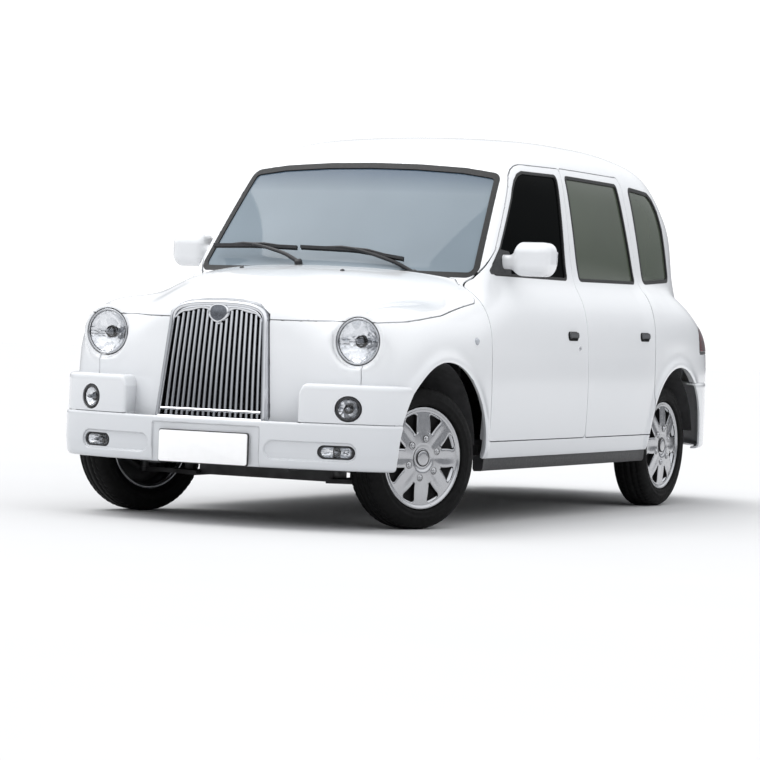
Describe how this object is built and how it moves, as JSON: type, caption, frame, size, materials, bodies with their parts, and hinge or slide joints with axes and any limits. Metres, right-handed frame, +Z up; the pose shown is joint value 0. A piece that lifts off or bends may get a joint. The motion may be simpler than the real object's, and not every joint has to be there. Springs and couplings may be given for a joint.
{
  "type": "taxi cab",
  "caption": "Purpose-built taxi cab with opening doors, bonnet and boot lid, a steered front axle, rolling wheels and a partitioned cabin.",
  "frame": {"origin": "on the ground, in the middle of the length and width", "axes": "+Z up, -Y forwards, +X to the car's left"},
  "size_m": [2.032, 4.58, 1.857],
  "materials": {
    "body_paint": "gloss white paint",
    "window_glass": "clear, slightly tinted",
    "tyre_rubber": "matt tread and sidewall",
    "wheel_trim": "silver lacquered wheel trim",
    "lamp_lens": "clear moulded lens",
    "tail_lens": "red moulded lens",
    "bright_trim": "polished",
    "black_plastic": "grained",
    "seat_fabric": "dark grey seat covering",
    "chassis_black": "satin black",
    "cast_metal": "as cast",
    "exhaust_steel": "dull",
    "floor_paint": "satin dark underseal",
    "plate_white": "blank plate"
  },
  "bodies": {
    "root": {"roof_panel": "body_paint", "body_sides": "body_paint", "rear_panel": "body_paint", "cowl_panel": "black_plastic", "front_wings": "body_paint", "front_bumper": "body_paint", "rear_bumper": "body_paint", "floor_pan": "floor_paint", "bulkhead": "floor_paint", "boot_floor": "floor_paint", "wheelhouses": "floor_paint", "chassis_frame": "chassis_black", "front_suspension": "chassis_black", "rear_axle": "chassis_black", "engine_block": "cast_metal", "radiator": "black_plastic", "drivetrain": "cast_metal", "exhaust": "exhaust_steel", "fuel_tank": "chassis_black", "grille": "bright_trim", "headlamps": "lamp_lens", "front_lamps": "lamp_lens", "tail_lamps": "tail_lens", "fixed_glass": "window_glass", "partition": "black_plastic", "driver_seat": "seat_fabric", "rear_bench": "seat_fabric", "dashboard": "black_plastic", "wipers": "black_plastic", "number_plates": "plate_white"},
    "front_door_left": {"front_door_left": "body_paint", "front_door_glass_left": "window_glass", "door_mirror_left": "body_paint"},
    "front_door_right": {"front_door_right": "body_paint", "front_door_glass_right": "window_glass", "door_mirror_right": "body_paint"},
    "rear_door_left": {"rear_door_left": "body_paint", "rear_door_glass_left": "window_glass"},
    "rear_door_right": {"rear_door_right": "body_paint", "rear_door_glass_right": "window_glass"},
    "bonnet": {"bonnet": "body_paint"},
    "boot_lid": {"boot_lid": "body_paint"},
    "steering_wheel": {"steering_wheel": "black_plastic"},
    "knuckle_left": {"knuckle_left": "chassis_black"},
    "knuckle_right": {"knuckle_right": "chassis_black"},
    "wheel_front_left": {"wheel_front_left": "wheel_trim", "tyre_front_left": "tyre_rubber"},
    "wheel_front_right": {"wheel_front_right": "wheel_trim", "tyre_front_right": "tyre_rubber"},
    "wheel_rear_left": {"wheel_rear_left": "wheel_trim", "tyre_rear_left": "tyre_rubber"},
    "wheel_rear_right": {"wheel_rear_right": "wheel_trim", "tyre_rear_right": "tyre_rubber"}
  },
  "joints": [
    {"name": "front_door_left_hinge", "type": "hinge", "parent": "root", "child": "front_door_left", "pos_m": [0.876, -1.152, 0.9], "axis": [0, 0, -1], "range_deg": [0, 70]},
    {"name": "front_door_right_hinge", "type": "hinge", "parent": "root", "child": "front_door_right", "pos_m": [-0.876, -1.152, 0.9], "axis": [0, 0, 1], "range_deg": [0, 70]},
    {"name": "rear_door_left_hinge", "type": "hinge", "parent": "root", "child": "rear_door_left", "pos_m": [0.883, -0.022, 0.9], "axis": [0, 0, -1], "range_deg": [0, 72]},
    {"name": "rear_door_right_hinge", "type": "hinge", "parent": "root", "child": "rear_door_right", "pos_m": [-0.883, -0.022, 0.9], "axis": [0, 0, 1], "range_deg": [0, 72]},
    {"name": "bonnet_hinge", "type": "hinge", "parent": "root", "child": "bonnet", "pos_m": [0, -1.062, 1.225], "axis": [-1, 0, 0], "range_deg": [0, 50]},
    {"name": "boot_lid_hinge", "type": "hinge", "parent": "root", "child": "boot_lid", "pos_m": [0, 1.878, 1.12], "axis": [1, 0, 0], "range_deg": [0, 75]},
    {"name": "steer_left", "type": "hinge", "parent": "root", "child": "knuckle_left", "pos_m": [0.68, -1.622, 0.32], "axis": [0, 0, 1], "range_deg": [-28, 72]},
    {"name": "steer_right", "type": "hinge", "parent": "root", "child": "knuckle_right", "pos_m": [-0.68, -1.622, 0.32], "axis": [0, 0, 1], "range_deg": [-28, 72]},
    {"name": "wheel_front_left_spin", "type": "hinge", "parent": "knuckle_left", "child": "wheel_front_left", "pos_m": [0.70596, -1.63249, 0.32], "axis": [0.9272, -0.3746, 0], "continuous": true},
    {"name": "wheel_front_right_spin", "type": "hinge", "parent": "knuckle_right", "child": "wheel_front_right", "pos_m": [-0.70596, -1.61151, 0.32], "axis": [0.9272, -0.3746, 0], "continuous": true},
    {"name": "wheel_rear_left_spin", "type": "hinge", "parent": "root", "child": "wheel_rear_left", "pos_m": [0.708, 1.264, 0.32], "axis": [1, 0, 0], "continuous": true},
    {"name": "wheel_rear_right_spin", "type": "hinge", "parent": "root", "child": "wheel_rear_right", "pos_m": [-0.708, 1.264, 0.32], "axis": [1, 0, 0], "continuous": true},
    {"name": "steering_wheel_turn", "type": "hinge", "parent": "root", "child": "steering_wheel", "pos_m": [0.38, -0.657, 1.035], "axis": [0, 0.9063, 0.4226], "range_deg": [-280, 720]}
  ],
  "couplings": [
    {"joint": "steer_right", "follows": "steer_left", "ratio": 1},
    {"joint": "steering_wheel_turn", "follows": "steer_left", "ratio": 10}
  ]
}
